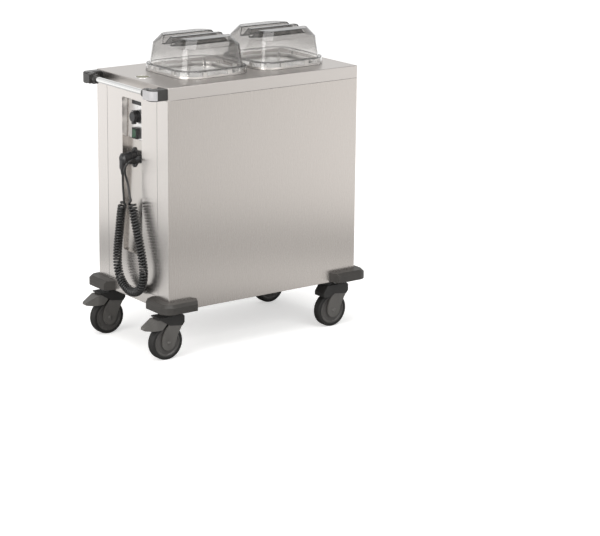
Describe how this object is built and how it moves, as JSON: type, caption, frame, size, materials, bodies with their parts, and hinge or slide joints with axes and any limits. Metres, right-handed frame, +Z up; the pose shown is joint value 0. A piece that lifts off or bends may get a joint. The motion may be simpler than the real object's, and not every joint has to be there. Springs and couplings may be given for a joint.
{
  "type": "plate dispenser cart",
  "caption": "Heated plate dispenser cart: cabinet with clear-hooded plate wells, a push handle, end controls with a curly supply cord, corner bumpers and swivel castors.",
  "frame": {"origin": "on the floor, under the middle of the cart's box", "axes": "+Z up, +X along the cart away from the push handle, +Y across it"},
  "size_m": [0.9294, 0.527, 1.085],
  "materials": {
    "cabinet_sheet": "satin",
    "deck_steel": "brushed",
    "inner_steel": "satin",
    "bright_rod": "polished",
    "handle_tube": "polished",
    "dark_plastic": "matte",
    "grey_plastic": "matte",
    "castor_grey": "satin",
    "inlay_pale": "satin",
    "black_gloss": "gloss",
    "switch_green": "gloss",
    "hood_clear": "gloss",
    "tyre_black": "matte",
    "cord_black": "satin",
    "plated_steel": "satin"
  },
  "bodies": {
    "cabinet": {"base_frame": "inner_steel", "bumper_far_back": "grey_plastic", "bumper_far_front": "grey_plastic", "bumper_near_back": "grey_plastic", "bumper_near_front": "grey_plastic", "cable_gland": "dark_plastic", "castor_mount_far_back": "plated_steel", "castor_mount_far_front": "plated_steel", "castor_mount_near_back": "plated_steel", "castor_mount_near_front": "plated_steel", "control_end_panel": "cabinet_sheet", "control_plate": "deck_steel", "cord_coil": "cord_black", "cord_lead": "cord_black", "cord_plug": "dark_plastic", "cord_tail": "cord_black", "display_plate": "black_gloss", "fan_heater": "inner_steel", "far_end_panel": "cabinet_sheet", "frame_bolts": "plated_steel", "guide_rods_1": "bright_rod", "guide_rods_2": "bright_rod", "handle_bracket_back": "grey_plastic", "handle_bracket_front": "grey_plastic", "handle_inlays": "inlay_pale", "lift_springs_1": "plated_steel", "lift_springs_2": "plated_steel", "parking_socket": "dark_plastic", "push_handle_tube": "handle_tube", "side_panel_back": "cabinet_sheet", "side_panel_front": "cabinet_sheet", "switch_housing": "dark_plastic", "thermostat_body": "dark_plastic", "top_deck": "deck_steel", "well_collar_1": "grey_plastic", "well_collar_2": "grey_plastic", "well_shaft_1": "inner_steel", "well_shaft_2": "inner_steel"},
    "castor_near_front": {"castor_fork_near_front": "castor_grey"},
    "wheel_near_front": {"castor_wheel_near_front": "castor_grey", "castor_tyre_near_front": "tyre_black"},
    "pedal_front": {"brake_pedal_front": "dark_plastic"},
    "castor_near_back": {"castor_fork_near_back": "castor_grey"},
    "wheel_near_back": {"castor_wheel_near_back": "castor_grey", "castor_tyre_near_back": "tyre_black"},
    "pedal_back": {"brake_pedal_back": "dark_plastic"},
    "castor_far_front": {"castor_fork_far_front": "castor_grey"},
    "wheel_far_front": {"castor_wheel_far_front": "castor_grey", "castor_tyre_far_front": "tyre_black"},
    "castor_far_back": {"castor_fork_far_back": "castor_grey"},
    "wheel_far_back": {"castor_wheel_far_back": "castor_grey", "castor_tyre_far_back": "tyre_black"},
    "knob": {"thermostat_knob": "dark_plastic"},
    "rocker": {"rocker_switch": "switch_green"},
    "cover_1": {"hood_1": "hood_clear"},
    "platform_1": {"plate_platform_1": "inner_steel"},
    "cover_2": {"hood_2": "hood_clear"},
    "platform_2": {"plate_platform_2": "inner_steel"}
  },
  "joints": [
    {"name": "swivel_near_front", "type": "hinge", "parent": "cabinet", "child": "castor_near_front", "pos_m": [-0.33275, -0.191, 0.145], "axis": [0, 0, 1], "continuous": true},
    {"name": "roll_near_front", "type": "hinge", "parent": "castor_near_front", "child": "wheel_near_front", "pos_m": [-0.37075, -0.191, 0.0625], "axis": [0, 1, 0], "continuous": true},
    {"name": "press_brake_front", "type": "hinge", "parent": "castor_near_front", "child": "pedal_front", "pos_m": [-0.37875, -0.191, 0.139], "axis": [0, -1, 0], "range_deg": [0, 8]},
    {"name": "swivel_near_back", "type": "hinge", "parent": "cabinet", "child": "castor_near_back", "pos_m": [-0.33275, 0.191, 0.145], "axis": [0, 0, 1], "continuous": true},
    {"name": "roll_near_back", "type": "hinge", "parent": "castor_near_back", "child": "wheel_near_back", "pos_m": [-0.37075, 0.191, 0.0625], "axis": [0, 1, 0], "continuous": true},
    {"name": "press_brake_back", "type": "hinge", "parent": "castor_near_back", "child": "pedal_back", "pos_m": [-0.37875, 0.191, 0.139], "axis": [0, -1, 0], "range_deg": [0, 8]},
    {"name": "swivel_far_front", "type": "hinge", "parent": "cabinet", "child": "castor_far_front", "pos_m": [0.38325, -0.191, 0.145], "axis": [0, 0, 1], "continuous": true},
    {"name": "roll_far_front", "type": "hinge", "parent": "castor_far_front", "child": "wheel_far_front", "pos_m": [0.34525, -0.191, 0.0625], "axis": [0, 1, 0], "continuous": true},
    {"name": "swivel_far_back", "type": "hinge", "parent": "cabinet", "child": "castor_far_back", "pos_m": [0.38325, 0.191, 0.145], "axis": [0, 0, 1], "continuous": true},
    {"name": "roll_far_back", "type": "hinge", "parent": "castor_far_back", "child": "wheel_far_back", "pos_m": [0.34525, 0.191, 0.0625], "axis": [0, 1, 0], "continuous": true},
    {"name": "turn_thermostat", "type": "hinge", "parent": "cabinet", "child": "knob", "pos_m": [-0.36221, 0, 0.82231], "axis": [0.9995, 0, -0.0312], "range_deg": [0, 270]},
    {"name": "rock_switch", "type": "hinge", "parent": "cabinet", "child": "rocker", "pos_m": [-0.36552, 0, 0.76436], "axis": [0, -1, 0], "range_deg": [-14, 0]},
    {"name": "lift_hood_1", "type": "slide", "parent": "cabinet", "child": "cover_1", "axis": [0, 0, 1], "range_m": [0, 0.3]},
    {"name": "lower_platform_1", "type": "slide", "parent": "cabinet", "child": "platform_1", "axis": [0, 0, 1], "range_m": [-0.58, 0], "stiffness_N_per_m": 785, "springref_m": 0.05, "deforming": ["lift_springs_1"]},
    {"name": "lift_hood_2", "type": "slide", "parent": "cabinet", "child": "cover_2", "axis": [0, 0, 1], "range_m": [0, 0.3]},
    {"name": "lower_platform_2", "type": "slide", "parent": "cabinet", "child": "platform_2", "axis": [0, 0, 1], "range_m": [-0.58, 0], "stiffness_N_per_m": 785, "springref_m": 0.05, "deforming": ["lift_springs_2"]}
  ]
}
